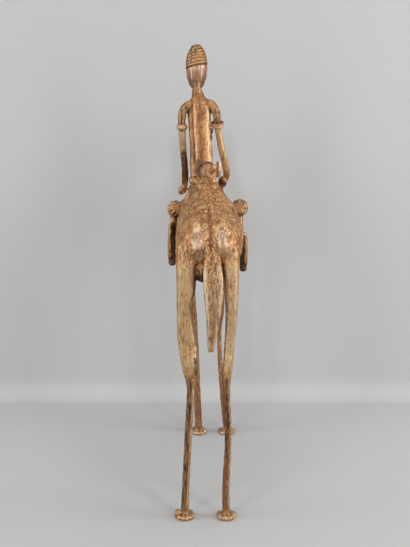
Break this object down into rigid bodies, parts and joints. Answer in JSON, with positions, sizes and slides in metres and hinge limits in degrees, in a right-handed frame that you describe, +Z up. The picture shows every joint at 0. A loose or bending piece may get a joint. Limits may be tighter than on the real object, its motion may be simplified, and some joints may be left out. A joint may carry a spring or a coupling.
{
  "type": "bronze camel rider figure",
  "caption": "Slender cast bronze rider in a ringed cap, sitting on a long-legged saddled camel that stands on round pads.",
  "frame": {"origin": "on the floor, under the middle of the figure's bounding box", "axes": "+Z up, +Y the way the camel and its rider face, +X to the rider's right hand"},
  "size_m": [0.1448, 0.5482, 0.78],
  "materials": {
    "bronze": "rough cast bronze with a warm brown patina, darker in the hollows and rubbed paler on the high spots"
  },
  "bodies": {
    "root": {"camel_rider": "bronze"}
  },
  "joints": []
}
